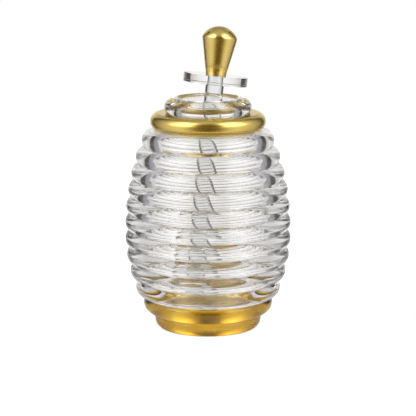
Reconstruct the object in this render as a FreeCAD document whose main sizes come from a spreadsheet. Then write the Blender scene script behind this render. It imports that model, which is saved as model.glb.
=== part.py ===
import FreeCAD, Part
import math
import os
import Sketcher

# Beehive honey jar: a thick clear beaded body, a round collar on its neck held down by a clear
# mouth ring, a rimmed plug in the recess under its floor, and a dipper (finned rod, lid disc,
# knob) that leans in the mouth.
# Millimetres, +Z up. Origin: on the jar's axis, at the underside of the foot.

doc = FreeCAD.newDocument("HoneyJar")
sheet = doc.addObject("Spreadsheet::Sheet", "Spec")

SIZES = [
    # clear body: beads stacked inside a barrel shaped outline
    ("BeadCount", 12),
    ("BeadPitch", 7.82),
    ("BeadOverlap", 0.0645),
    ("FootBeadHeight", 3.79),
    ("BellyRadius", 39.6),
    ("BellyHeight", 46.2),
    ("LowerReach", 55.3),
    ("UpperReach", 72.2),
    ("NeckRadius", 19.0),
    # mouth ring on top of the neck
    ("RingRadius", 20.6),
    ("RingHeight", 7.1),
    ("RingBelly", 2.6),
    ("LipRound", 3.8),
    ("MouthRadius", 13.3),
    ("MouthRound", 2.0),
    # the free inside
    ("FloorHeight", 10.0),
    ("CavityRadius", 29.6),
    ("CavityBellyHeight", 50.0),
    ("CavitySideRound", 140.0),
    ("FloorCornerRound", 12.0),
    ("RoofThickness", 2.0),
    ("RoofCornerRound", 1.5),
    # collar
    ("CollarRadius", 27.2),
    ("CollarHeight", 8.2),
    ("CollarRound", 4.0),
    ("CollarClearance", 0.3),
    # plug under the floor
    ("PlugRadius", 22.0),
    ("PlugHeight", 7.9),
    ("RimCover", 0.17),
    ("RimThickness", 1.0),
    ("PlugEdge", 0.3),
    ("PlugClearance", 0.15),
    # dipper, along its own axis from the end of its head
    ("RodRadius", 4.4),
    ("RodLength", 104.65),
    ("FinCount", 5),
    ("FinPitch", 7.4),
    ("FinThickness", 3.6),
    ("FinRadius", 11.35),
    ("EndFinRadius", 9.5),
    ("LidRadius", 15.3),
    ("LidThickness", 4.2),
    ("LidBoreClearance", 0.1),
    ("SpigotRadius", 2.5),
    ("SpigotLength", 12.0),
    ("KnobFootRadius", 4.8),
    ("KnobRadius", 8.3),
    ("KnobLength", 23.0),
    ("KnobShoulder", 5.7),
    ("KnobEdgeRound", 2.2),
    ("SpigotClearance", 0.1),
    # how the dipper leans
    ("LeanAngle", 7.2),
    ("LeanAzimuth", 57.5),
    ("TouchAzimuth", 17.0),
    ("RestClearance", 0.3),
]
for row, (name, value) in enumerate(SIZES, start=1):
    sheet.set("A%d" % row, name)
    sheet.set("B%d" % row, str(value))
    sheet.setAlias("B%d" % row, name)
doc.recompute()


def size(name):
    return float(sheet.get(name))


def plane(body, role):
    for feature in body.Origin.OriginFeatures:
        if feature.Role == role:
            return feature


def new_body(label):
    body = doc.addObject("PartDesign::Body", label)
    body.Label = label
    return body


def new_sketch(body, name):
    sketch = body.newObject("Sketcher::SketchObject", name)
    sketch.AttachmentSupport = [(plane(body, "XZ_Plane"), "")]
    sketch.MapMode = "FlatFace"
    return sketch


def vec(r, z):
    return FreeCAD.Vector(r, z, 0)


class Outline:
    """A closed half section drawn edge by edge, radius across and height up."""

    def __init__(self, sketch):
        self.sketch = sketch
        self.edges = []

    def line(self, start, end):
        index = self.sketch.addGeometry(Part.LineSegment(vec(*start), vec(*end)))
        self.edges.append((index, 1, 2))
        return index

    def arc(self, centre, radius, start, end):
        # start and end are angles in radians, the arc runs anticlockwise from the smaller one
        low = min(start, end)
        high = max(start, end)
        circle = Part.Circle(vec(*centre), FreeCAD.Vector(0, 0, 1), radius)
        index = self.sketch.addGeometry(Part.ArcOfCircle(circle, low, high))
        if start < end:
            self.edges.append((index, 1, 2))
        else:
            self.edges.append((index, 2, 1))
        return index

    def join(self, first, second, tangent=False):
        one = self.edges[first]
        two = self.edges[second]
        kind = "Tangent" if tangent else "Coincident"
        self.sketch.addConstraint(Sketcher.Constraint(kind, one[0], one[2], two[0], two[1]))

    def bind(self, kind, args, value, formula):
        index = self.sketch.addConstraint(Sketcher.Constraint(kind, *args, value))
        self.sketch.setExpression("Constraints[%d]" % index, formula)

    def radius(self, index, value, formula):
        self.bind("Radius", (index,), value, formula)

    def across(self, index, pos, value, formula):
        self.bind("DistanceX", (-1, 1, index, pos), value, formula)

    def up(self, index, pos, value, formula):
        self.bind("DistanceY", (-1, 1, index, pos), value, formula)

    def level(self, *indices):
        for index in indices:
            self.sketch.addConstraint(Sketcher.Constraint("Horizontal", index))

    def upright(self, *indices):
        for index in indices:
            self.sketch.addConstraint(Sketcher.Constraint("Vertical", index))

    def on_axis(self, index, pos):
        self.sketch.addConstraint(Sketcher.Constraint("PointOnObject", index, pos, -2))


def revolve(body, kind, sketch, name):
    feature = body.newObject(kind, name)
    feature.Profile = sketch
    feature.ReferenceAxis = (sketch, ["V_Axis"])
    feature.Angle = 360
    doc.recompute()
    return feature


# ---------------------------------------------------------------- clear body
# Bead number i is an arc of BeadRound whose outermost point lies on the barrel outline:
# a half ellipse of LowerReach below BellyHeight and one of UpperReach above it.
# The step from the foot bead to the next is the widest, and half of it, with BeadOverlap, is
# the round of every bead.
bead_count = int(size("BeadCount"))


def bead_height(i):
    return size("FootBeadHeight") + i * size("BeadPitch")


def bead_reach(i):
    above = bead_height(i) > size("BellyHeight")
    return "UpperReach" if above else "LowerReach"


def bead_radius(i):
    share = (bead_height(i) - size("BellyHeight")) / size(bead_reach(i))
    return size("BellyRadius") * math.sqrt(1 - share * share)


def height_formula(i):
    return "Spec.FootBeadHeight + %d * Spec.BeadPitch" % i


def radius_formula(i):
    share = "((%s - Spec.BellyHeight) / Spec.%s)" % (height_formula(i), bead_reach(i))
    return "Spec.BellyRadius * sqrt(1 - %s * %s)" % (share, share)


bead_round = math.hypot(size("BeadPitch"), bead_radius(1) - bead_radius(0)) / 2 + size("BeadOverlap")
STEP = "(%s - %s)" % (radius_formula(1), radius_formula(0))
HALF_STEP = "sqrt(Spec.BeadPitch * Spec.BeadPitch + %s * %s) / 2" % (STEP, STEP)
BEAD_ROUND = "(%s + Spec.BeadOverlap)" % HALF_STEP


def groove(i):
    """Where bead i meets bead i + 1, on the outer side."""
    ax = bead_radius(i) - bead_round
    ay = bead_height(i)
    bx = bead_radius(i + 1) - bead_round
    by = bead_height(i + 1)
    span = math.hypot(bx - ax, by - ay)
    rise = math.sqrt(bead_round ** 2 - (span / 2) ** 2)
    return (ax + bx) / 2 + rise * (by - ay) / span, (ay + by) / 2 - rise * (bx - ax) / span


shoulder = bead_height(bead_count - 1) + bead_round
SHOULDER = "%s + %s" % (height_formula(bead_count - 1), BEAD_ROUND)
neck_top = shoulder + size("CollarHeight")
NECK_TOP = SHOULDER + " + Spec.CollarHeight"
top = neck_top + size("RingHeight")
TOP = NECK_TOP + " + Spec.RingHeight"

jar = new_body("jar_body")
section = new_sketch(jar, "JarSection")
out = Outline(section)
foot_inset = math.sqrt(bead_round ** 2 - bead_height(0) ** 2)
first_line = out.line((0, 0), (bead_radius(0) - bead_round + foot_inset, 0))
beads = []
for i in range(bead_count):
    centre = (bead_radius(i) - bead_round, bead_height(i))
    if i == 0:
        start = -math.asin(bead_height(0) / bead_round)
    else:
        gx, gz = groove(i - 1)
        start = math.atan2(gz - centre[1], gx - centre[0])
    if i == bead_count - 1:
        end = math.pi / 2
    else:
        gx, gz = groove(i)
        end = math.atan2(gz - centre[1], gx - centre[0])
    beads.append(out.arc(centre, bead_round, start, end))
last = bead_radius(bead_count - 1) - bead_round
neck = size("NeckRadius")
ledge = out.line((last, shoulder), (neck, shoulder))
neck_line = out.line((neck, shoulder), (neck, neck_top))
top_line = out.line((neck, neck_top), (0, neck_top))
axis_line = out.line((0, neck_top), (0, 0))
out.join(0, 1)
for i in range(1, bead_count):
    out.join(i, i + 1)
n = bead_count
out.join(n, n + 1, True)
for k in range(n + 1, n + 4):
    out.join(k, k + 1)
out.join(n + 4, 0)
section.addConstraint(Sketcher.Constraint("Coincident", first_line, 1, -1, 1))
out.level(first_line, ledge, top_line)
out.upright(neck_line)
out.on_axis(axis_line, 1)
out.radius(beads[0], bead_round, BEAD_ROUND)
for i in range(bead_count):
    if i:
        section.addConstraint(Sketcher.Constraint("Equal", beads[0], beads[i]))
    out.across(beads[i], 3, bead_radius(i) - bead_round, radius_formula(i) + " - " + BEAD_ROUND)
    out.up(beads[i], 3, bead_height(i), height_formula(i))
out.across(neck_line, 2, neck, "Spec.NeckRadius")
out.up(top_line, 1, neck_top, NECK_TOP)
doc.recompute()
revolve(jar, "PartDesign::Revolution", section, "JarSolid")
solid_volume = jar.Shape.Volume

# free inside: flat floor, wide rounded corner, gently curved side, roof, bore of the neck
floor = size("FloorHeight")
roof = shoulder - size("RoofThickness")
side_round = size("CavitySideRound")
side_x = size("CavityRadius") - side_round
side_z = size("CavityBellyHeight")
low_round = size("FloorCornerRound")
high_round = size("RoofCornerRound")
mouth = size("MouthRadius")


def corner_x(corner, height):
    """Centre of a corner arc that touches the side arc from inside, at this height."""
    return side_x + math.sqrt((side_round - corner) ** 2 - (height - side_z) ** 2)


low_z = floor + low_round
low_x = corner_x(low_round, low_z)
high_z = roof - high_round
high_x = corner_x(high_round, high_z)
low_turn = math.atan2(low_z - side_z, low_x - side_x)
high_turn = math.atan2(high_z - side_z, high_x - side_x)
inside = new_sketch(jar, "CavitySection")
cav = Outline(inside)
floor_line = cav.line((0, floor), (low_x, floor))
low_arc = cav.arc((low_x, low_z), low_round, -math.pi / 2, low_turn)
side_arc = cav.arc((side_x, side_z), side_round, low_turn, high_turn)
high_arc = cav.arc((high_x, high_z), high_round, high_turn, math.pi / 2)
roof_line = cav.line((high_x, roof), (mouth, roof))
mouth_line = cav.line((mouth, roof), (mouth, neck_top))
lid_line = cav.line((mouth, neck_top), (0, neck_top))
core_line = cav.line((0, neck_top), (0, floor))
for k, smooth in enumerate([True, True, True, True, False, False, False]):
    cav.join(k, k + 1, smooth)
cav.join(7, 0)
cav.level(floor_line, roof_line, lid_line)
cav.upright(mouth_line)
cav.on_axis(core_line, 1)
cav.on_axis(core_line, 2)
cav.up(floor_line, 1, floor, "Spec.FloorHeight")
cav.radius(low_arc, low_round, "Spec.FloorCornerRound")
cav.radius(side_arc, side_round, "Spec.CavitySideRound")
cav.bind("DistanceX", (side_arc, 3, -1, 1), -side_x, "Spec.CavitySideRound - Spec.CavityRadius")
cav.up(side_arc, 3, side_z, "Spec.CavityBellyHeight")
cav.radius(high_arc, high_round, "Spec.RoofCornerRound")
cav.up(roof_line, 1, roof, SHOULDER + " - Spec.RoofThickness")
cav.across(mouth_line, 1, mouth, "Spec.MouthRadius")
cav.up(lid_line, 1, neck_top, NECK_TOP)
doc.recompute()
revolve(jar, "PartDesign::Groove", inside, "Cavity")
hollow_volume = jar.Shape.Volume

# recess for the plug, open at the foot, with a slot round its edge for the plug's rim; the slot
# ends RimCover under the cavity, measured at its inner side
recess = new_sketch(jar, "RecessSection")
rec = Outline(recess)
play = size("PlugClearance")
plug_radius = size("PlugRadius")
plug_height = size("PlugHeight")
rim_inside = plug_radius - size("RimThickness")
bore = plug_radius + play
slot = rim_inside - play
past_corner = max(slot - low_x, 0)
slot_top = low_z - math.sqrt(low_round ** 2 - past_corner ** 2) - size("RimCover")
rim_height = slot_top - play
ARM = "(Spec.CavitySideRound - Spec.FloorCornerRound)"
CORNER_Z = "(Spec.FloorHeight + Spec.FloorCornerRound)"
DROP = "(%s - Spec.CavityBellyHeight)" % CORNER_Z
CORNER_X = "(Spec.CavityRadius - Spec.CavitySideRound + sqrt(%s * %s - %s * %s))" % (ARM, ARM, DROP, DROP)
SLOT = "Spec.PlugRadius - Spec.RimThickness - Spec.PlugClearance"
PAST = "max(%s - %s; 0)" % (SLOT, CORNER_X)
UNDER = "sqrt(Spec.FloorCornerRound * Spec.FloorCornerRound - %s * %s)" % (PAST, PAST)
SLOT_TOP = "%s - %s - Spec.RimCover" % (CORNER_Z, UNDER)
low_line = rec.line((0, 0), (bore, 0))
bore_line = rec.line((bore, 0), (bore, slot_top))
slot_end = rec.line((bore, slot_top), (slot, slot_top))
slot_side = rec.line((slot, slot_top), (slot, plug_height))
ceiling = rec.line((slot, plug_height), (0, plug_height))
back = rec.line((0, plug_height), (0, 0))
for k in range(5):
    rec.join(k, k + 1)
rec.join(5, 0)
rec.level(low_line, slot_end, ceiling)
rec.upright(bore_line, slot_side, back)
recess.addConstraint(Sketcher.Constraint("Coincident", low_line, 1, -1, 1))
rec.across(bore_line, 1, bore, "Spec.PlugRadius + Spec.PlugClearance")
rec.up(bore_line, 2, slot_top, SLOT_TOP)
rec.across(slot_side, 1, slot, SLOT)
rec.up(slot_side, 2, plug_height, "Spec.PlugHeight")
doc.recompute()
revolve(jar, "PartDesign::Groove", recess, "Recess")
print("jar solid, hollow, with recess:", solid_volume, hollow_volume, jar.Shape.Volume)

# ---------------------------------------------------------------- collar
# ring on the shoulder: straight bore over the neck, fully rounded outer side
collar = new_body("collar")
ring = new_sketch(collar, "CollarSection")
col = Outline(ring)
inner = neck + size("CollarClearance")
outer = size("CollarRadius")
bend = size("CollarRound")
col_top = shoulder + size("CollarHeight")
seat_line = col.line((inner, shoulder), (outer - bend, shoulder))
under_arc = col.arc((outer - bend, shoulder + bend), bend, -math.pi / 2, 0)
rim_line = col.line((outer, shoulder + bend), (outer, col_top - bend))
over_arc = col.arc((outer - bend, col_top - bend), bend, 0, math.pi / 2)
crest_line = col.line((outer - bend, col_top), (inner, col_top))
bore_edge = col.line((inner, col_top), (inner, shoulder))
for k, smooth in enumerate([True, True, True, True, False]):
    col.join(k, k + 1, smooth)
col.join(5, 0)
col.level(seat_line, crest_line)
col.upright(rim_line, bore_edge)
col.across(bore_edge, 1, inner, "Spec.NeckRadius + Spec.CollarClearance")
col.up(seat_line, 1, shoulder, SHOULDER)
col.radius(under_arc, bend, "Spec.CollarRound")
col.radius(over_arc, bend, "Spec.CollarRound")
col.across(rim_line, 1, outer, "Spec.CollarRadius")
col.up(crest_line, 1, col_top, SHOULDER + " + Spec.CollarHeight")
doc.recompute()
revolve(collar, "PartDesign::Revolution", ring, "CollarRing")

# ---------------------------------------------------------------- mouth ring
# clear ring bonded on top of the neck, over the collar's crest: belly arc, low crown, flared bore
lip_ring = new_body("mouth_ring")
rim_sketch = new_sketch(lip_ring, "RingSection")
rng = Outline(rim_sketch)
ring_radius = size("RingRadius")
lip_round = size("LipRound")
belly = size("RingBelly")
mouth_round = size("MouthRound")
lip_x = ring_radius - lip_round
lip_z = neck_top + belly
under_turn = -math.asin(belly / lip_round)
under_x = lip_x + math.sqrt(lip_round ** 2 - belly ** 2)
# crown arc: level where the bore's flare begins, and touching the belly arc from inside
crown_x = mouth + mouth_round
run = lip_x - crown_x
gap = top - lip_z
crown_round = (run * run + gap * gap - lip_round * lip_round) / (2 * (gap - lip_round))
turn = math.atan2(lip_z - (top - crown_round), run)
under_line = rng.line((mouth, neck_top), (under_x, neck_top))
lip_arc = rng.arc((lip_x, lip_z), lip_round, under_turn, turn)
crown_arc = rng.arc((crown_x, top - crown_round), crown_round, turn, math.pi / 2)
flare_arc = rng.arc((crown_x, top - mouth_round), mouth_round, math.pi / 2, math.pi)
throat = rng.line((mouth, top - mouth_round), (mouth, neck_top))
for k, smooth in enumerate([False, True, True, True]):
    rng.join(k, k + 1, smooth)
rng.join(4, 0)
rng.level(under_line)
rng.upright(throat)
rng.across(throat, 2, mouth, "Spec.MouthRadius")
rng.up(under_line, 1, neck_top, NECK_TOP)
rng.radius(lip_arc, lip_round, "Spec.LipRound")
rng.across(lip_arc, 3, lip_x, "Spec.RingRadius - Spec.LipRound")
rng.up(lip_arc, 3, lip_z, NECK_TOP + " + Spec.RingBelly")
rng.radius(flare_arc, mouth_round, "Spec.MouthRound")
rng.across(crown_arc, 3, crown_x, "Spec.MouthRadius + Spec.MouthRound")
rng.up(flare_arc, 1, top, TOP)
doc.recompute()
revolve(lip_ring, "PartDesign::Revolution", rim_sketch, "MouthRing")

# ---------------------------------------------------------------- plug under the floor
# disc with a thin upright rim
plug = new_body("base_plug")
disc = new_sketch(plug, "PlugSection")
plg = Outline(disc)
base_edge = plg.line((0, 0), (plug_radius, 0))
wall_edge = plg.line((plug_radius, 0), (plug_radius, rim_height))
rim_edge = plg.line((plug_radius, rim_height), (rim_inside, rim_height))
inner_edge = plg.line((rim_inside, rim_height), (rim_inside, plug_height))
head_edge = plg.line((rim_inside, plug_height), (0, plug_height))
mid_edge = plg.line((0, plug_height), (0, 0))
for k in range(5):
    plg.join(k, k + 1)
plg.join(5, 0)
plg.level(base_edge, rim_edge, head_edge)
plg.upright(wall_edge, inner_edge, mid_edge)
disc.addConstraint(Sketcher.Constraint("Coincident", base_edge, 1, -1, 1))
plg.across(wall_edge, 1, plug_radius, "Spec.PlugRadius")
plg.up(wall_edge, 2, rim_height, SLOT_TOP + " - Spec.PlugClearance")
plg.across(inner_edge, 1, rim_inside, "Spec.PlugRadius - Spec.RimThickness")
plg.up(inner_edge, 2, plug_height, "Spec.PlugHeight")
doc.recompute()
plug_solid = revolve(plug, "PartDesign::Revolution", disc, "PlugCup")
rims = []
for number, edge in enumerate(plug_solid.Shape.Edges, start=1):
    curve = edge.Curve
    if curve.TypeId == "Part::GeomCircle" and abs(curve.Radius - plug_radius) < 0.01:
        rims.append("Edge%d" % number)
broken = plug.newObject("PartDesign::Chamfer", "PlugEdges")
broken.Base = (plug_solid, rims)
broken.Size = size("PlugEdge")
broken.setExpression("Size", "Spec.PlugEdge")
doc.recompute()

# ---------------------------------------------------------------- dipper
# All three pieces are drawn along their own axis, the end of the head at zero, and then leaned
# together: the head's lowest edge on the cavity floor, the rod against the back of the mouth.
rod_radius = size("RodRadius")
rod_length = size("RodLength")
LID = "Spec.RodLength"
dipper = new_body("dipper_rod")
shaft = new_sketch(dipper, "RodSection")
rod = Outline(shaft)
spigot = size("SpigotRadius")
spigot_top = rod_length + size("LidThickness") + size("SpigotLength")
end_line = rod.line((0, 0), (rod_radius, 0))
rod_line = rod.line((rod_radius, 0), (rod_radius, rod_length))
step_line = rod.line((rod_radius, rod_length), (spigot, rod_length))
pin_line = rod.line((spigot, rod_length), (spigot, spigot_top))
pin_top = rod.line((spigot, spigot_top), (0, spigot_top))
rod_axis = rod.line((0, spigot_top), (0, 0))
for k in range(5):
    rod.join(k, k + 1)
rod.join(5, 0)
rod.level(end_line, step_line, pin_top)
rod.upright(rod_line, pin_line, rod_axis)
shaft.addConstraint(Sketcher.Constraint("Coincident", end_line, 1, -1, 1))
rod.across(rod_line, 1, rod_radius, "Spec.RodRadius")
rod.up(rod_line, 2, rod_length, LID)
rod.across(pin_line, 1, spigot, "Spec.SpigotRadius")
rod.up(pin_line, 2, spigot_top, LID + " + Spec.LidThickness + Spec.SpigotLength")
doc.recompute()
revolve(dipper, "PartDesign::Revolution", shaft, "RodShaft")


def fin(name, low, low_formula, reach, reach_formula):
    sketch = new_sketch(dipper, name + "Section")
    edge = Outline(sketch)
    thick = size("FinThickness")
    under = edge.line((0, low), (reach, low))
    side = edge.line((reach, low), (reach, low + thick))
    over = edge.line((reach, low + thick), (0, low + thick))
    spine = edge.line((0, low + thick), (0, low))
    for k in range(3):
        edge.join(k, k + 1)
    edge.join(3, 0)
    edge.level(under, over)
    edge.upright(side, spine)
    edge.on_axis(under, 1)
    edge.up(under, 1, low, low_formula)
    edge.across(side, 1, reach, reach_formula)
    edge.bind("DistanceY", (side, 1, side, 2), thick, "Spec.FinThickness")
    doc.recompute()
    return revolve(dipper, "PartDesign::Revolution", sketch, name)


fin("EndFin", 0, "0", size("EndFinRadius"), "Spec.EndFinRadius")
second = fin("Fin", size("FinPitch"), "Spec.FinPitch", size("FinRadius"), "Spec.FinRadius")
stack = dipper.newObject("PartDesign::LinearPattern", "FinStack")
stack.Originals = [second]
stack.Direction = (second.Profile[0], ["V_Axis"])
fin_count = int(size("FinCount"))
stack.Length = (fin_count - 2) * size("FinPitch")
stack.Occurrences = fin_count - 1
stack.setExpression("Length", "(Spec.FinCount - 2) * Spec.FinPitch")
stack.setExpression("Occurrences", "Spec.FinCount - 1")
dipper.Tip = stack
doc.recompute()

lid = new_body("dipper_lid")
plate = new_sketch(lid, "LidSection")
cap = Outline(plate)
hole = spigot + size("LidBoreClearance")
lid_radius = size("LidRadius")
lid_top = rod_length + size("LidThickness")
lid_under = cap.line((hole, rod_length), (lid_radius, rod_length))
lid_rim = cap.line((lid_radius, rod_length), (lid_radius, lid_top))
lid_over = cap.line((lid_radius, lid_top), (hole, lid_top))
lid_bore = cap.line((hole, lid_top), (hole, rod_length))
for k in range(3):
    cap.join(k, k + 1)
cap.join(3, 0)
cap.level(lid_under, lid_over)
cap.upright(lid_rim, lid_bore)
cap.across(lid_bore, 1, hole, "Spec.SpigotRadius + Spec.LidBoreClearance")
cap.up(lid_under, 1, rod_length, LID)
cap.across(lid_rim, 1, lid_radius, "Spec.LidRadius")
cap.up(lid_rim, 2, lid_top, LID + " + Spec.LidThickness")
doc.recompute()
revolve(lid, "PartDesign::Revolution", plate, "LidDisc")

# knob: cone that widens upward, a rounded edge, then a low dome; blind bore over the spigot
knob = new_body("dipper_knob")
grip = new_sketch(knob, "KnobSection")
kno = Outline(grip)
foot = size("KnobFootRadius")
wide = size("KnobRadius")
edge_round = size("KnobEdgeRound")
knob_top = lid_top + size("KnobLength")
wide_z = knob_top - size("KnobShoulder")
bore_r = spigot + size("SpigotClearance")
bore_top = spigot_top + size("SpigotClearance")
# dome: an arc about the axis that passes through the top and touches the edge arc from inside
edge_x = wide - edge_round
drop = knob_top - wide_z
dome_round = (edge_x ** 2 + drop ** 2 - edge_round ** 2) / (2 * (drop - edge_round))
dome_z = knob_top - dome_round
dome_turn = math.atan2(wide_z - dome_z, edge_x)
# cone: the straight line from the foot that touches the edge arc
rise = wide_z - lid_top
spread = edge_x - foot
lean = math.asin(edge_round / math.hypot(spread, rise)) + math.atan2(spread, rise)
touch = -lean
knob_under = kno.line((bore_r, lid_top), (foot, lid_top))
touch_x = edge_x + edge_round * math.cos(touch)
touch_z = wide_z + edge_round * math.sin(touch)
cone_line = kno.line((foot, lid_top), (touch_x, touch_z))
edge_arc = kno.arc((edge_x, wide_z), edge_round, touch, dome_turn)
dome_arc = kno.arc((0, dome_z), dome_round, dome_turn, math.pi / 2)
knob_axis = kno.line((0, knob_top), (0, bore_top))
bore_end = kno.line((0, bore_top), (bore_r, bore_top))
bore_side = kno.line((bore_r, bore_top), (bore_r, lid_top))
for k, smooth in enumerate([False, True, True, False, False, False]):
    kno.join(k, k + 1, smooth)
kno.join(6, 0)
kno.level(knob_under, bore_end)
kno.upright(knob_axis, bore_side)
kno.on_axis(knob_axis, 1)
kno.on_axis(dome_arc, 3)
kno.up(knob_under, 1, lid_top, LID + " + Spec.LidThickness")
kno.across(knob_under, 2, foot, "Spec.KnobFootRadius")
kno.radius(edge_arc, edge_round, "Spec.KnobEdgeRound")
kno.across(edge_arc, 3, edge_x, "Spec.KnobRadius - Spec.KnobEdgeRound")
KNOB_TOP = LID + " + Spec.LidThickness + Spec.KnobLength"
kno.up(edge_arc, 3, wide_z, KNOB_TOP + " - Spec.KnobShoulder")
kno.up(knob_axis, 1, knob_top, KNOB_TOP)
kno.across(bore_side, 1, bore_r, "Spec.SpigotRadius + Spec.SpigotClearance")
PIN_TOP = LID + " + Spec.LidThickness + Spec.SpigotLength"
kno.up(bore_side, 1, bore_top, PIN_TOP + " + Spec.SpigotClearance")
doc.recompute()
revolve(knob, "PartDesign::Revolution", grip, "KnobGrip")

# lean: +Z is turned by LeanAngle towards LeanAzimuth (measured from +Y to +X); the rod touches
# the mouth bore at TouchAzimuth, at the height where the bore's flare begins
angle = math.radians(size("LeanAngle"))
azimuth = math.radians(size("LeanAzimuth"))
touch_azimuth = math.radians(size("TouchAzimuth"))
reach = mouth - rod_radius / math.cos(angle) - size("RestClearance")
touch_height = top - mouth_round
end_height = floor + size("EndFinRadius") * math.sin(angle) + size("RestClearance")
slide = (touch_height - end_height) * math.tan(angle)
end_x = reach * math.sin(touch_azimuth) - slide * math.sin(azimuth)
end_y = reach * math.cos(touch_azimuth) - slide * math.cos(azimuth)
hinge = FreeCAD.Vector(-math.cos(azimuth), math.sin(azimuth), 0)
leaning = FreeCAD.Placement(
    FreeCAD.Vector(end_x, end_y, end_height),
    FreeCAD.Rotation(hinge, size("LeanAngle")),
)
for piece in (dipper, lid, knob):
    piece.Placement = leaning
doc.recompute()

# ---------------------------------------------------------------- checks and files
for item in doc.Objects:
    for word in item.State:
        if word in ("Invalid", "Error"):
            raise RuntimeError("%s is %s" % (item.Label, word))
for item in doc.Objects:
    if item.TypeId == "Sketcher::SketchObject":
        free = item.solve()
        print(item.Name, "solve", free, "constraints", item.ConstraintCount)
if not hollow_volume < solid_volume:
    raise RuntimeError("the cavity cut nothing")
if not jar.Shape.Volume < hollow_volume:
    raise RuntimeError("the recess cut nothing")

os.makedirs("parts", exist_ok=True)
for piece in (jar, collar, lip_ring, plug, dipper, lid, knob):
    shape = piece.Shape
    if shape.isNull() or not shape.isValid():
        raise RuntimeError("%s has no valid shape" % piece.Label)
    box = shape.BoundBox
    print(piece.Label, "volume", round(shape.Volume, 1), "solids", len(shape.Solids),
          "z", round(box.ZMin, 2), round(box.ZMax, 2), "x", round(box.XMin, 2), round(box.XMax, 2),
          "y", round(box.YMin, 2), round(box.YMax, 2))
    shape.exportStep("parts/%s.step" % piece.Label)
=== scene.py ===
import math

import bpy
import numpy as np
from mathutils import Matrix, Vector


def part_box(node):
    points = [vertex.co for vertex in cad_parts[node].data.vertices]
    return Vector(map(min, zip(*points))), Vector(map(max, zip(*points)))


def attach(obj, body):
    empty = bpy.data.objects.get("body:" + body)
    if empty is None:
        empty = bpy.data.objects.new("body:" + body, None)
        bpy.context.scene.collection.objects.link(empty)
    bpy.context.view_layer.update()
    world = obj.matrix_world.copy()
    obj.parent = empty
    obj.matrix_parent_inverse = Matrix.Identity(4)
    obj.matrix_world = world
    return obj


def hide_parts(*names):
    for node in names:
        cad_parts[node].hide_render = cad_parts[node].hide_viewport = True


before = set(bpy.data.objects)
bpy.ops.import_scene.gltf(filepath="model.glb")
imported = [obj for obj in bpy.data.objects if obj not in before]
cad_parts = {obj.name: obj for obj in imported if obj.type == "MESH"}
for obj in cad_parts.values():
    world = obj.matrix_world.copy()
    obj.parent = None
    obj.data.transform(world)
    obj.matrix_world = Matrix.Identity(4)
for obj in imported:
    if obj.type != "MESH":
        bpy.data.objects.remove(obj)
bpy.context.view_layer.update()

root = bpy.context.scene.collection
sharpAngle = 32  # degrees between two faces, past which their edge shades as sharp
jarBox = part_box("jar_body")
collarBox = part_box("collar")
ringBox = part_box("mouth_ring")
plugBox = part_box("base_plug")


# Every piece is turned: a half section (radius, height) goes round an axis.

def arcLine(centre, radius, start, end, count):
    # points centre + radius * (cos a, sin a), a running evenly from start to end in degrees
    a = np.radians(np.linspace(start, end, count))
    return np.column_stack([centre[0] + radius * np.cos(a), centre[1] + radius * np.sin(a)])


def straight(first, last, count=2):
    # points on the straight line from first to last, evenly spaced
    t = np.linspace(0, 1, count)[:, None]
    return np.array(first) * (1 - t) + np.array(last) * t


def joinLines(*lines):
    # one section from several lines end to end, with repeated points dropped
    points = np.vstack(lines)
    step = np.hypot(*np.diff(points, axis=0).T)
    return points[np.concatenate([[True], step > 1e-7])]


def newPiece(name, points, corners, counts):
    # a smooth mesh object: all faces' corners in one array, and how many each face has
    starts = np.concatenate([[0], np.cumsum(counts)[:-1]]).astype(np.int32)
    mesh = bpy.data.meshes.new(name)
    mesh.vertices.add(len(points))
    mesh.vertices.foreach_set("co", points.astype(np.float32).ravel())
    mesh.loops.add(len(corners))
    mesh.loops.foreach_set("vertex_index", corners.astype(np.int32))
    mesh.polygons.add(len(counts))
    mesh.polygons.foreach_set("loop_start", starts)
    mesh.update(calc_edges=True)
    mesh.polygons.foreach_set("use_smooth", np.ones(len(counts), dtype=bool))
    mesh.set_sharp_from_angle(angle=math.radians(sharpAngle))
    mesh.validate()
    piece = bpy.data.objects.new(name, mesh)
    root.objects.link(piece)
    return piece


def turnedPiece(name, section, around=256, place=None):
    # vertex (i, j) = (r_i cos t_j, r_i sin t_j, z_i): the section's point i at the turn t_j;
    # a point on the axis is a single pole, and a section with no poles closes on itself
    r, z = section[:, 0].copy(), section[:, 1].copy()
    hasPoles = r[0] < 1e-9
    if not hasPoles and np.hypot(r[0] - r[-1], z[0] - z[-1]) < 1e-7:
        r, z = r[:-1], z[:-1]
    inner = slice(1, -1) if hasPoles else slice(None)
    t = np.arange(around) * 2 * np.pi / around
    rr, zz = r[inner], z[inner]
    grid = [np.outer(rr, np.cos(t)), np.outer(rr, np.sin(t)), np.outer(zz, np.ones(around))]
    points = np.stack(grid, axis=-1).reshape(-1, 3)
    rows = len(rr)
    bands = rows - 1 if hasPoles else rows
    i, j = np.meshgrid(np.arange(bands), np.arange(around), indexing="ij")
    k = (j + 1) % around
    up = (i + 1) % rows
    quads = [i * around + j, i * around + k, up * around + k, up * around + j]
    quads = np.stack(quads, axis=-1).reshape(-1, 4)
    loops = [quads.ravel()]
    sizes = [np.full(len(quads), 4)]
    if hasPoles:
        ends = np.array([[0, 0, z[0]], [0, 0, z[-1]]])
        first = len(points)
        points = np.vstack([points, ends])
        turn = np.arange(around)
        after = (turn + 1) % around
        lastRow = (rows - 1) * around
        loops.append(np.column_stack([np.full(around, first), after, turn]).ravel())
        loops.append(np.column_stack([lastRow + turn, lastRow + after, np.full(around, first + 1)]).ravel())
        sizes.append(np.full(2 * around, 3))
    if place is not None:
        points = points @ place[:3, :3].T + place[:3, 3]
    return newPiece(name, points, np.concatenate(loops), np.concatenate(sizes))


# Materials. The shared effects are node groups that give masks and heights.

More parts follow.
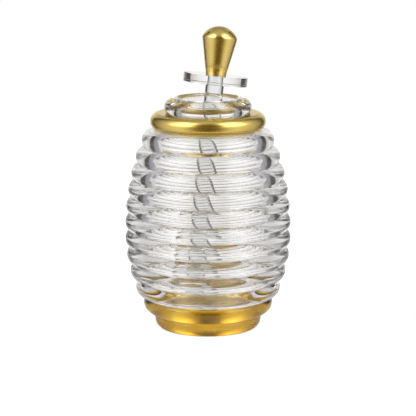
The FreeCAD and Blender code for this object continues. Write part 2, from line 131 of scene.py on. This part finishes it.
def newMaterial(name):
    material = bpy.data.materials.new(name)
    material.use_nodes = True
    nodes = material.node_tree.nodes
    return material, nodes, material.node_tree.links, nodes["Principled BSDF"]


def newGroup(name, inputs, outputs):
    group = bpy.data.node_groups.new(name, "ShaderNodeTree")
    for label, kind, value in inputs:
        socket = group.interface.new_socket(label, in_out="INPUT", socket_type=kind)
        if value is not None:
            socket.default_value = value
    for label in outputs:
        group.interface.new_socket(label, in_out="OUTPUT", socket_type="NodeSocketFloat")
    nodes = group.nodes
    return group, nodes, group.links, nodes.new("NodeGroupInput"), nodes.new("NodeGroupOutput")


def vectorNode(nodes, links, operation, first, second=None, scale=None):
    node = nodes.new("ShaderNodeVectorMath")
    node.operation = operation
    links.new(first, node.inputs[0])
    if second is not None:
        links.new(second, node.inputs[1])
    if scale is not None:
        node.inputs["Scale"].default_value = scale
    return node


def mathNode(nodes, links, operation, first, second=None):
    node = nodes.new("ShaderNodeMath")
    node.operation = operation
    for socket, value in zip(node.inputs, (first, second)):
        if value is None:
            continue
        if isinstance(value, (int, float)):
            socket.default_value = value
        else:
            links.new(value, socket)
    return node.outputs[0]


def mixNode(nodes, links, factor, first, second):
    # the first colour where the factor is 0, the second where it is 1
    node = nodes.new("ShaderNodeMix")
    node.data_type = "RGBA"
    links.new(factor, node.inputs["Factor"])
    for socket, colour in ((node.inputs[6], first), (node.inputs[7], second)):
        if isinstance(colour, tuple):
            socket.default_value = colour
        else:
            links.new(colour, socket)
    return node.outputs[2]


def noiseNode(nodes, links, where, scale, detail):
    node = nodes.new("ShaderNodeTexNoise")
    node.inputs["Scale"].default_value = scale
    node.inputs["Detail"].default_value = detail
    links.new(where, node.inputs["Vector"])
    return node.outputs["Fac"]


def mapNode(nodes, links, value, low, high):
    # the middle of a noise, 0.3 to 0.7, stretched to low and high
    node = nodes.new("ShaderNodeMapRange")
    node.inputs["From Min"].default_value = 0.3
    node.inputs["From Max"].default_value = 0.7
    node.inputs["To Min"].default_value = low
    node.inputs["To Max"].default_value = high
    links.new(value, node.inputs["Value"])
    return node.outputs[0]


def turnedMarks():
    # fine rings round the Z axis, as a lathe or a polishing mop leaves them: noise read at
    # (direction from the axis * Sweep, (radius + height) / Line Width), broad smudges, and the
    # radius itself
    inputs = [("Vector", "NodeSocketVector", None), ("Line Width", "NodeSocketFloat", 0.0004),
              ("Sweep", "NodeSocketFloat", 2.0), ("Smudge Size", "NodeSocketFloat", 0.012)]
    group, nodes, links, start, end = newGroup("turnedMarks", inputs, ["Lines", "Smudges", "Radius"])
    split = nodes.new("ShaderNodeSeparateXYZ")
    links.new(start.outputs["Vector"], split.inputs[0])
    flat = nodes.new("ShaderNodeCombineXYZ")
    links.new(split.outputs["X"], flat.inputs["X"])
    links.new(split.outputs["Y"], flat.inputs["Y"])
    radius = vectorNode(nodes, links, "LENGTH", flat.outputs[0]).outputs["Value"]
    links.new(radius, end.inputs["Radius"])
    away = vectorNode(nodes, links, "NORMALIZE", flat.outputs[0]).outputs[0]
    sweep = vectorNode(nodes, links, "SCALE", away)
    links.new(start.outputs["Sweep"], sweep.inputs["Scale"])
    along = mathNode(nodes, links, "ADD", radius, split.outputs["Z"])
    along = mathNode(nodes, links, "DIVIDE", along, start.outputs["Line Width"])
    lift = nodes.new("ShaderNodeCombineXYZ")
    links.new(along, lift.inputs["Z"])
    where = vectorNode(nodes, links, "ADD", sweep.outputs[0], lift.outputs[0])
    links.new(noiseNode(nodes, links, where.outputs[0], 1.0, 3.0), end.inputs["Lines"])
    smudge = noiseNode(nodes, links, start.outputs["Vector"], 1.0, 2.0)
    size = mathNode(nodes, links, "DIVIDE", 1.0, start.outputs["Smudge Size"])
    links.new(size, smudge.node.inputs["Scale"])
    links.new(smudge, end.inputs["Smudges"])
    return group


def flowMarks():
    # slow waves of a moulded wall with faint level rings, and a mask for the least hazy spots
    ringSpread, ringWeight, hazeScale = 12.0, 0.2, 140.0
    inputs = [("Vector", "NodeSocketVector", None), ("Wave Size", "NodeSocketFloat", 0.02),
              ("Ring Width", "NodeSocketFloat", 0.0016)]
    group, nodes, links, start, end = newGroup("flowMarks", inputs, ["Height", "Haze"])
    wave = noiseNode(nodes, links, start.outputs["Vector"], 1.0, 1.0)
    size = mathNode(nodes, links, "DIVIDE", 1.0, start.outputs["Wave Size"])
    links.new(size, wave.node.inputs["Scale"])
    split = nodes.new("ShaderNodeSeparateXYZ")
    links.new(start.outputs["Vector"], split.inputs[0])
    level = nodes.new("ShaderNodeCombineXYZ")
    links.new(mathNode(nodes, links, "MULTIPLY", split.outputs["X"], ringSpread), level.inputs["X"])
    links.new(mathNode(nodes, links, "MULTIPLY", split.outputs["Y"], ringSpread), level.inputs["Y"])
    rings = mathNode(nodes, links, "DIVIDE", split.outputs["Z"], start.outputs["Ring Width"])
    links.new(rings, level.inputs["Z"])
    ring = noiseNode(nodes, links, level.outputs[0], 1.0, 0.0)
    height = mathNode(nodes, links, "ADD", mathNode(nodes, links, "MULTIPLY", ring, ringWeight), wave)
    links.new(height, end.inputs["Height"])
    links.new(noiseNode(nodes, links, start.outputs["Vector"], hazeScale, 3.0), end.inputs["Haze"])
    return group


def addGroup(nodes, links, group, where):
    node = nodes.new("ShaderNodeGroup")
    node.node_tree = group
    links.new(where, node.inputs["Vector"])
    return node


def addBump(nodes, links, height, distance, strength, shader):
    bump = nodes.new("ShaderNodeBump")
    bump.inputs["Strength"].default_value = strength
    bump.inputs["Distance"].default_value = distance
    links.new(height, bump.inputs["Height"])
    links.new(bump.outputs[0], shader.inputs["Normal"])


acrylic = {
    "jarColour": (1, 1, 1, 1),
    "rodColour": (0.91, 0.92, 0.93, 1),
    "ior": 1.49,
    "roughness": (0.0, 0.004),
    "waveSize": 0.02,
    "ringWidth": 0.0016,
    "waveHeight": 0.00006,
    "waveStrength": 0.12,
}


def clearAcrylic(v, name, colour, marks):
    material, nodes, links, shader = newMaterial(name)
    shader.inputs["Base Color"].default_value = colour
    shader.inputs["IOR"].default_value = v["ior"]
    shader.inputs["Transmission Weight"].default_value = 1
    where = nodes.new("ShaderNodeTexCoord").outputs["Object"]
    waves = addGroup(nodes, links, marks, where)
    waves.inputs["Wave Size"].default_value = v["waveSize"]
    waves.inputs["Ring Width"].default_value = v["ringWidth"]
    links.new(mapNode(nodes, links, waves.outputs["Haze"], *v["roughness"]), shader.inputs["Roughness"])
    addBump(nodes, links, waves.outputs["Height"], v["waveHeight"], v["waveStrength"], shader)
    return material


# deep and bright: the metal's colour in and between the smudges; roughness from smooth to
# satin lines; inner: the colour within innerRadius
golds = {
    "collarGold": {"deep": (0.76, 0.55, 0.13, 1), "bright": (0.88, 0.67, 0.20, 1), "roughness": (0.22, 0.30),
                   "lineWidth": 0.0005, "lineHeight": 0.000008, "lineStrength": 0.25},
    "baseGold": {"deep": (0.78, 0.42, 0.02, 1), "bright": (0.92, 0.58, 0.05, 1), "roughness": (0.24, 0.36),
                 "lineWidth": 0.0007, "lineHeight": 0.00002, "lineStrength": 0.4,
                 "innerRadius": 0.0215, "inner": (0.92, 0.72, 0.34, 1)},
    "knobGold": {"deep": (0.80, 0.59, 0.17, 1), "bright": (0.90, 0.69, 0.24, 1), "roughness": (0.2, 0.29),
                 "lineWidth": 0.0005, "lineHeight": 0.000004, "lineStrength": 0.15},
}


def satinGold(name, marks, place=None):
    # place: the leaning axis of a turned piece, if it has one
    v = golds[name]
    material, nodes, links, shader = newMaterial(name)
    shader.inputs["Metallic"].default_value = 1
    where = nodes.new("ShaderNodeTexCoord").outputs["Object"]
    if place is not None:
        back = Matrix(place.tolist()).inverted()
        mapping = nodes.new("ShaderNodeMapping")
        mapping.inputs["Location"].default_value = back.to_translation()
        mapping.inputs["Rotation"].default_value = back.to_euler()
        links.new(where, mapping.inputs["Vector"])
        where = mapping.outputs[0]
    turned = addGroup(nodes, links, marks, where)
    turned.inputs["Line Width"].default_value = v["lineWidth"]
    links.new(mapNode(nodes, links, turned.outputs["Lines"], *v["roughness"]), shader.inputs["Roughness"])
    both = mathNode(nodes, links, "ADD", turned.outputs["Lines"], turned.outputs["Smudges"])
    share = mapNode(nodes, links, mathNode(nodes, links, "MULTIPLY", both, 0.5), 0, 1)
    colour = mixNode(nodes, links, share, v["deep"], v["bright"])
    if "inner" in v:
        # the face inside the rim, within innerRadius, gets a paler colour than the outside
        outside = mathNode(nodes, links, "GREATER_THAN", turned.outputs["Radius"], v["innerRadius"])
        colour = mixNode(nodes, links, outside, v["inner"], colour)
    links.new(colour, shader.inputs["Base Color"])
    addBump(nodes, links, turned.outputs["Lines"], v["lineHeight"], v["lineStrength"], shader)
    return material


# The jar and its mouth ring: beads on a barrel outline, a smooth cavity, a rounded mouth.

jar = {
    "beadCount": 12,
    "beadPitch": 0.00782,
    "beadRound": 0.00484,
    "footBeadHeight": 0.00379,
    "bellyHeight": 0.0462,
    "lowerReach": 0.0553,
    "upperReach": 0.0722,
    "neckRadius": 0.019,
    "ringRadius": 0.0206,
    "ringBelly": 0.0026,
    "lipRound": 0.0038,
    "mouthRadius": 0.0133,
    "mouthRound": 0.002,
    "floorHeight": 0.010,
    "cavityRadius": 0.0296,
    "cavityBellyHeight": 0.050,
    "cavitySideRound": 0.140,
    "floorCornerRound": 0.012,
    "roofThickness": 0.002,
    "roofCornerRound": 0.0015,
    "plugHeight": 0.0079,
    "rimThickness": 0.001,
    "plugOverlap": 0.00005,
    "pointsPerBead": 22,
}


def beadLines(v):
    # bead i is an arc of beadRound whose outermost point lies on two half ellipses that meet at
    # the belly: radius = belly * sqrt(1 - ((height - bellyHeight) / reach)^2); neighbouring arcs
    # end where their circles cross, in a groove
    belly = (jarBox[1][0] - jarBox[0][0]) / 2
    heights = v["footBeadHeight"] + v["beadPitch"] * np.arange(v["beadCount"])
    reach = np.where(heights > v["bellyHeight"], v["upperReach"], v["lowerReach"])
    radii = belly * np.sqrt(1 - ((heights - v["bellyHeight"]) / reach) ** 2)
    bead = v["beadRound"]
    middle = radii - bead
    outwards, upwards = np.diff(middle), np.diff(heights)
    span = np.hypot(outwards, upwards)
    rise = np.sqrt(bead ** 2 - (span / 2) ** 2)
    grooveX = (middle[:-1] + middle[1:]) / 2 + rise * upwards / span
    grooveZ = (heights[:-1] + heights[1:]) / 2 - rise * outwards / span
    starts = np.arctan2(grooveZ - heights[1:], grooveX - middle[1:])
    starts = np.degrees(np.concatenate([[-math.asin(heights[0] / bead)], starts]))
    ends = np.arctan2(grooveZ - heights[:-1], grooveX - middle[:-1])
    ends = np.degrees(np.concatenate([ends, [math.pi / 2]]))
    arcs = zip(middle, heights, starts, ends)
    beads = [arcLine((x, z), bead, start, end, v["pointsPerBead"]) for x, z, start, end in arcs]
    foot = (middle[0] + math.sqrt(bead ** 2 - heights[0] ** 2), 0)
    return foot, beads, (middle[-1], heights[-1] + bead)


def ringLines(v):
    # the ring's round side, its low crown and the mouth's rounded edge, each arc touching the next
    seat, top = ringBox[0][2], ringBox[1][2]
    side, lip = v["ringRadius"] - v["lipRound"], seat + v["ringBelly"]
    flare = v["mouthRound"]
    crownX = v["mouthRadius"] + flare
    run, gap = side - crownX, top - lip
    crown = (run ** 2 + gap ** 2 - v["lipRound"] ** 2) / (2 * (gap - v["lipRound"]))
    under = -math.degrees(math.asin(v["ringBelly"] / v["lipRound"]))
    turn = math.degrees(math.atan2(lip - (top - crown), run))
    return [
        arcLine((side, lip), v["lipRound"], under, turn, 20),
        arcLine((crownX, top - crown), crown, turn, 90, 8),
        arcLine((crownX, top - flare), flare, 90, 180, 12),
    ]


def cavityLines(v, roof):
    # from the mouth's bore down to the axis: corner arcs that touch the side arc from inside
    side, floor, mouth = v["cavitySideRound"], v["floorHeight"], v["mouthRadius"]
    sideX, sideZ = v["cavityRadius"] - side, v["cavityBellyHeight"]
    lowR, highR = v["floorCornerRound"], v["roofCornerRound"]
    lowZ, highZ = floor + lowR, roof - highR
    lowX = sideX + math.sqrt((side - lowR) ** 2 - (lowZ - sideZ) ** 2)
    highX = sideX + math.sqrt((side - highR) ** 2 - (highZ - sideZ) ** 2)
    lowTurn = math.degrees(math.atan2(lowZ - sideZ, lowX - sideX))
    highTurn = math.degrees(math.atan2(highZ - sideZ, highX - sideX))
    return [
        straight((mouth, ringBox[1][2] - v["mouthRound"]), (mouth, roof), 10),
        straight((mouth, roof), (highX, roof), 5),
        arcLine((highX, highZ), highR, 90, highTurn, 14),
        arcLine((sideX, sideZ), side, highTurn, lowTurn, 40),
        arcLine((lowX, lowZ), lowR, lowTurn, -90, 14),
        straight((lowX, floor), (0, floor), 8),
    ]


def recessLines(v, foot):
    # the recess is a hair smaller than the plug, so that the gold wets the clear wall
    sink = v["plugOverlap"]
    radius, rimTop = (plugBox[1][0] - plugBox[0][0]) / 2 - sink, plugBox[1][2] - sink
    slot, plugTop = radius + 2 * sink - v["rimThickness"], v["plugHeight"] - sink
    return [
        straight((0, plugTop), (slot, plugTop), 5),
        straight((slot, plugTop), (slot, rimTop), 3),
        straight((slot, rimTop), (radius, rimTop)),
        straight((radius, rimTop), (radius, 0), 5),
        straight((radius, 0), foot, 3),
    ]


def jarSection(v):
    foot, beads, shoulder = beadLines(v)
    neck, height = v["neckRadius"], shoulder[1]
    return joinLines(
        *recessLines(v, foot),
        *beads,
        straight(shoulder, (neck, height), 4),
        straight((neck, height), (neck, ringBox[0][2]), 8),
        *ringLines(v),
        *cavityLines(v, height - v["roofThickness"]),
    )


# The gold collar and the gold plug under the jar.

collar = {"neckRadius": 0.019, "clearance": 0.0003, "round": 0.004}


def collarSection(v):
    # a ring: straight bore, flat seat and crest, outer side two quarter arcs with a short flat between
    inner = v["neckRadius"] + v["clearance"]
    outer = (collarBox[1][0] - collarBox[0][0]) / 2
    low, high = collarBox[0][2], collarBox[1][2]
    bend = v["round"]
    return joinLines(
        straight((inner, low), (outer - bend, low), 4),
        arcLine((outer - bend, low + bend), bend, -90, 0, 20),
        arcLine((outer - bend, high - bend), bend, 0, 90, 20),
        straight((outer - bend, high), (inner, high), 4),
        straight((inner, high), (inner, low), 6),
    )


plug = {"edge": 0.0003}


def plugSection(v):
    # a disc with an upright rim; the two outer edges are broken by a small chamfer
    radius, rim, edge = (plugBox[1][0] - plugBox[0][0]) / 2, plugBox[1][2], v["edge"]
    inside, high = radius - jar["rimThickness"], jar["plugHeight"]
    return joinLines(
        straight((0, 0), (radius - edge, 0), 8),
        straight((radius - edge, 0), (radius, edge)),
        straight((radius, edge), (radius, rim - edge), 10),
        straight((radius, rim - edge), (radius - edge, rim)),
        straight((radius - edge, rim), (inside, rim)),
        straight((inside, rim), (inside, high), 3),
        straight((inside, high), (0, high), 8),
    )


# The dipper: rod with fins, lid disc and knob on one leaning axis.

dipper = {
    "rodRadius": 0.0044,
    "rodLength": 0.10465,
    "finCount": 5,
    "finPitch": 0.0074,
    "finThickness": 0.0036,
    "finRadius": 0.01135,
    "endFinRadius": 0.0095,
    "edge": 0.00015,
    "lidRadius": 0.0153,
    "lidThickness": 0.0042,
    "spigotRadius": 0.0025,
    "spigotLength": 0.012,
    "lidBoreClearance": 0.0001,
    "knobFootRadius": 0.0048,
    "knobRadius": 0.0083,
    "knobLength": 0.0230,
    "knobShoulder": 0.0057,
    "knobEdgeRound": 0.0022,
    "spigotClearance": 0.0001,
    "leanAngle": 7.2,
    "leanAzimuth": 57.5,
    "touchAzimuth": 17.0,
    "restClearance": 0.0003,
}


def dipperPlace(v, j):
    # +Z turned by leanAngle towards leanAzimuth (from +Y to +X); the head's lowest edge is on
    # the cavity floor, and the rod is at the back of the mouth
    lean, azimuth, touch = (math.radians(v[k]) for k in ("leanAngle", "leanAzimuth", "touchAzimuth"))
    reach = j["mouthRadius"] - v["rodRadius"] / math.cos(lean) - v["restClearance"]
    touchHeight = ringBox[1][2] - j["mouthRound"]
    low = j["floorHeight"] + v["endFinRadius"] * math.sin(lean) + v["restClearance"]
    slide = (touchHeight - low) * math.tan(lean)
    hinge = np.array([-math.cos(azimuth), math.sin(azimuth), 0])
    x, y, _ = hinge
    c, s = math.cos(lean), math.sin(lean)
    place = np.eye(4)
    place[:3, :3] = [[c + x * x * (1 - c), x * y * (1 - c), y * s],
                     [x * y * (1 - c), c + y * y * (1 - c), -x * s],
                     [-y * s, x * s, c]]
    place[:3, 3] = [reach * math.sin(touch) - slide * math.sin(azimuth),
                    reach * math.cos(touch) - slide * math.cos(azimuth), low]
    return place


def finLines(v):
    # the outline of each fin from the rod out and back, with edges broken by v["edge"]
    rod, thick, edge = v["rodRadius"], v["finThickness"], v["edge"]
    lines = []
    for i in range(v["finCount"]):
        low = i * v["finPitch"]
        reach = v["finRadius"] if i else v["endFinRadius"]
        if i:
            lines.append(straight((rod, low), (reach - edge, low), 5))
        lines.append(straight((reach - edge, low), (reach, low + edge)))
        lines.append(straight((reach, low + edge), (reach, low + thick - edge), 3))
        lines.append(straight((reach, low + thick - edge), (reach - edge, low + thick)))
        lines.append(straight((reach - edge, low + thick), (rod, low + thick), 5))
    return lines


def rodSection(v):
    pin = v["spigotRadius"]
    end = v["rodLength"] + v["lidThickness"] + v["spigotLength"]
    last = (v["finCount"] - 1) * v["finPitch"] + v["finThickness"]
    return joinLines(
        straight((0, 0), (v["endFinRadius"] - v["edge"], 0), 6),
        *finLines(v),
        straight((v["rodRadius"], last), (v["rodRadius"], v["rodLength"]), 30),
        straight((v["rodRadius"], v["rodLength"]), (pin, v["rodLength"])),
        straight((pin, v["rodLength"]), (pin, end), 5),
        straight((pin, end), (0, end)),
    )


def lidSection(v):
    low, high = v["rodLength"], v["rodLength"] + v["lidThickness"]
    bore, edge, outer = v["spigotRadius"] + v["lidBoreClearance"], v["edge"], v["lidRadius"]
    return joinLines(
        straight((bore, low), (outer - edge, low), 6),
        straight((outer - edge, low), (outer, low + edge)),
        straight((outer, low + edge), (outer, high - edge), 4),
        straight((outer, high - edge), (outer - edge, high)),
        straight((outer - edge, high), (bore, high), 6),
        straight((bore, high), (bore, low), 3),
    )


def knobSection(v):
    # cone up to a rounded edge, then a low dome whose arc touches the edge arc from inside
    low = v["rodLength"] + v["lidThickness"]
    top = low + v["knobLength"]
    foot, rnd = v["knobFootRadius"], v["knobEdgeRound"]
    bore = v["spigotRadius"] + v["spigotClearance"]
    boreTop = low + v["spigotLength"] + v["spigotClearance"]
    edgeX, edgeZ = v["knobRadius"] - rnd, top - v["knobShoulder"]
    drop = top - edgeZ
    dome = (edgeX ** 2 + drop ** 2 - rnd ** 2) / (2 * (drop - rnd))
    domeTurn = math.degrees(math.atan2(edgeZ - (top - dome), edgeX))
    rise, spread = edgeZ - low, edgeX - foot
    lean = math.asin(rnd / math.hypot(spread, rise)) + math.atan2(spread, rise)
    touch = (edgeX + rnd * math.cos(lean), edgeZ - rnd * math.sin(lean))
    return joinLines(
        straight((bore, low), (foot, low)),
        straight((foot, low), touch, 20),
        arcLine((edgeX, edgeZ), rnd, -math.degrees(lean), domeTurn, 16),
        arcLine((0, top - dome), dome, domeTurn, 90, 16)[:-1],
        [(0, top)],
        [(0, boreTop)],
        straight((bore, boreTop), (bore, low), 4),
    )


place = dipperPlace(dipper, jar)
turned = turnedMarks()
flow = flowMarks()
clear = clearAcrylic(acrylic, "jarAcrylic", acrylic["jarColour"], flow)
clearRod = clearAcrylic(acrylic, "rodAcrylic", acrylic["rodColour"], flow)
goldCollar = satinGold("collarGold", turned)
goldBase = satinGold("baseGold", turned)
goldKnob = satinGold("knobGold", turned, place)
print("materials made")

pieces = [
    (turnedPiece("jarShell", jarSection(jar), 240), ("jar_body", "mouth_ring"), "clear", clear),
    (turnedPiece("neckCollar", collarSection(collar)), ("collar",), "gold_collar", goldCollar),
    (turnedPiece("basePlug", plugSection(plug)), ("base_plug",), "gold_base", goldBase),
    (turnedPiece("dipperRod", rodSection(dipper), 128, place), ("dipper_rod",), "clear", clearRod),
    (turnedPiece("dipperLid", lidSection(dipper), 160, place), ("dipper_lid",), "clear", clear),
    (turnedPiece("dipperKnob", knobSection(dipper), 128, place), ("dipper_knob",), "gold_knob", goldKnob),
]
for piece, nodes, slot, material in pieces:
    piece.data.materials.append(material)
    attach(piece, "root")
    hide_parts(*nodes)
print("pieces made")


# The studio: pale floor, soft room, graded walls.

# studio["low"] and ["high"]: how bright the room is near the horizon and above it, by the turn in
# degrees from straight back (0) round either side to the camera (180); the last number tints it
# towards brown (above 0) or towards lavender (below 0)
studio = {
    "strength": 4.0,         # the room's tones are divided by this in the ramps and given back after
    "floorColour": 0.87,
    "floorToEye": 0.6,       # added where the eye sees the floor, which makes it white
    "floorEdges": (0.1, -0.15, 0.6),  # half width, front, back
    "low": [(0, 0.95, 0), (12, 0.95, 0), (24, 0.8, 0), (35.5, 0.60, 0), (37, 0.05, 0), (50, 0.05, 0),
            (54, 0.30, -0.5), (65, 0.42, -0.6), (78, 0.62, -0.6), (93, 0.70, -0.2), (104, 0.82, 0),
            (120, 0.92, 0), (135, 0.78, 0.05), (144, 0.58, 0.3), (153, 0.34, 0.6), (162, 0.17, 0.9),
            (180, 0.12, 1)],
    "high": [(0, 0.35, 0), (60, 0.35, 0), (92, 0.9, 0), (104, 3.2, 0), (138, 3.2, 0), (150, 0.3, 0.3),
             (160, 0.14, 0.9), (180, 0.12, 1)],
    "top": 0.5,
    # the sine of the rise where the high room begins and is whole, and the same for the top
    "highRise": (0.20, 0.36),
    "topRise": (0.88, 0.95),
    # the graded walls, the same on both sides: reach, height, turns of the ends, tone by turn
    "wallReach": 0.34,
    "wallHeight": 0.5,
    "wallEnds": (24, 76),
    "wallTones": [(24, 0.95, 0), (30, 0.84, 0), (35.5, 0.66, 0), (37, 0.05, 0), (50, 0.05, 0),
                  (54, 0.30, -0.5), (65, 0.44, -0.6), (76, 0.66, -0.6)],
}


def makeFloor(v):
    side, front, back = v["floorEdges"]
    mesh = bpy.data.meshes.new("floor")
    corners = [(-side, front, 0), (side, front, 0), (side, back, 0), (-side, back, 0)]
    mesh.from_pydata(corners, [], [(0, 1, 2, 3)])
    floor = bpy.data.objects.new("floor", mesh)
    root.objects.link(floor)
    material, nodes, links, shader = newMaterial("paleFloor")
    tone = v["floorColour"]
    shader.inputs["Base Color"].default_value = (tone, tone, tone, 1)
    shader.inputs["Roughness"].default_value = 0.7
    shader.inputs["Specular IOR Level"].default_value = 0.0
    shader.inputs["Emission Color"].default_value = (1, 1, 1, 1)
    path = nodes.new("ShaderNodeLightPath")
    eye = mathNode(nodes, links, "MULTIPLY", path.outputs["Is Camera Ray"], v["floorToEye"])
    links.new(eye, shader.inputs["Emission Strength"])
    mesh.materials.append(material)


def tinted(value, tint):
    # brown for a tint above 0, lavender below
    if tint >= 0:
        return (value, value * (1 - 0.32 * tint), value * (1 - 0.85 * tint), 1)
    return (value * (1 + 0.04 * tint), value * (1 + 0.06 * tint), value * (1 - 0.10 * tint), 1)


def rampNode(nodes, stops, scale):
    ramp = nodes.new("ShaderNodeValToRGB")
    elements = ramp.color_ramp.elements
    while len(elements) < len(stops):
        elements.new(0.5)
    for element, (degrees, value, tint) in zip(elements, stops):
        element.position = degrees / 180
        element.color = tinted(value / scale, tint)
    return ramp


def turnMask(nodes, links, where):
    # the turn from straight back, 0, round either side to the camera, 1
    split = nodes.new("ShaderNodeSeparateXYZ")
    links.new(where, split.inputs[0])
    side = mathNode(nodes, links, "ABSOLUTE", split.outputs["X"])
    turn = mathNode(nodes, links, "ARCTAN2", side, split.outputs["Y"])
    return mathNode(nodes, links, "DIVIDE", turn, math.pi), split


def makeWalls(v):
    # an upright arc on each side, point j at (reach * sin a_j, reach * cos a_j), lit by the room
    material, nodes, links, shader = newMaterial("gradedWall")
    ramp = rampNode(nodes, v["wallTones"], 1)
    turn, _ = turnMask(nodes, links, nodes.new("ShaderNodeTexCoord").outputs["Object"])
    links.new(turn, ramp.inputs[0])
    links.new(ramp.outputs["Color"], shader.inputs["Base Color"])
    shader.inputs["Roughness"].default_value = 0.9
    shader.inputs["Specular IOR Level"].default_value = 0.0
    turns = np.radians(np.linspace(*v["wallEnds"], 27))
    for side in (-1, 1):
        foot = [(side * v["wallReach"] * math.sin(a), v["wallReach"] * math.cos(a), 0) for a in turns]
        points = foot + [(x, y, v["wallHeight"]) for x, y, _ in foot]
        n = len(foot)
        mesh = bpy.data.meshes.new("gradedWall")
        mesh.from_pydata(points, [], [(i, i + 1, n + i + 1, n + i) for i in range(n - 1)])
        mesh.materials.append(material)
        wall = bpy.data.objects.new("gradedWall", mesh)
        root.objects.link(wall)
        wall.visible_camera = False
        wall.visible_shadow = False
        wall.visible_diffuse = False


def riseMask(nodes, links, height, ends):
    node = nodes.new("ShaderNodeMapRange")
    node.interpolation_type = "SMOOTHSTEP"
    node.inputs["From Min"].default_value = ends[0]
    node.inputs["From Max"].default_value = ends[1]
    links.new(height, node.inputs["Value"])
    return node.outputs[0]


def makeWorld(v):
    world = bpy.data.worlds.new("studio")
    bpy.context.scene.world = world
    world.use_nodes = True
    nodes, links = world.node_tree.nodes, world.node_tree.links
    background = nodes["Background"]
    turn, split = turnMask(nodes, links, nodes.new("ShaderNodeTexCoord").outputs["Generated"])
    scale = v["strength"]
    low = rampNode(nodes, v["low"], scale)
    high = rampNode(nodes, v["high"], scale)
    links.new(turn, low.inputs[0])
    links.new(turn, high.inputs[0])
    rise = riseMask(nodes, links, split.outputs["Z"], v["highRise"])
    lift = riseMask(nodes, links, split.outputs["Z"], v["topRise"])
    top = v["top"] / scale
    room = mixNode(nodes, links, rise, low.outputs["Color"], high.outputs["Color"])
    room = mixNode(nodes, links, lift, room, (top, top, top, 1))
    path = nodes.new("ShaderNodeLightPath")
    white = (1 / scale, 1 / scale, 1 / scale, 1)
    links.new(mixNode(nodes, links, path.outputs["Is Camera Ray"], room, white), background.inputs["Color"])
    background.inputs["Strength"].default_value = scale


makeFloor(studio)
makeWalls(studio)
makeWorld(studio)
print("studio made")

view = {
    "distance": 0.8577,
    "elevation": 12.2,
    "aimHeight": 0.0442,
    "tiltUp": 0.829,
    "lens": 155.5,
}


def makeCamera(v):
    data = bpy.data.cameras.new("camera")
    data.lens = v["lens"]
    data.sensor_width = 36
    data.clip_start = 0.01
    data.clip_end = 20
    camera = bpy.data.objects.new("camera", data)
    root.objects.link(camera)
    up = math.radians(v["elevation"])
    camera.location = (0, -v["distance"] * math.cos(up), v["aimHeight"] + v["distance"] * math.sin(up))
    camera.rotation_euler = (math.pi / 2 - up + math.radians(v["tiltUp"]), 0, 0)
    bpy.context.scene.camera = camera


makeCamera(view)
print("camera set")

scene = bpy.context.scene
scene.view_settings.view_transform = "Standard"
scene.cycles.max_bounces = 24
scene.cycles.transmission_bounces = 24
scene.cycles.glossy_bounces = 8
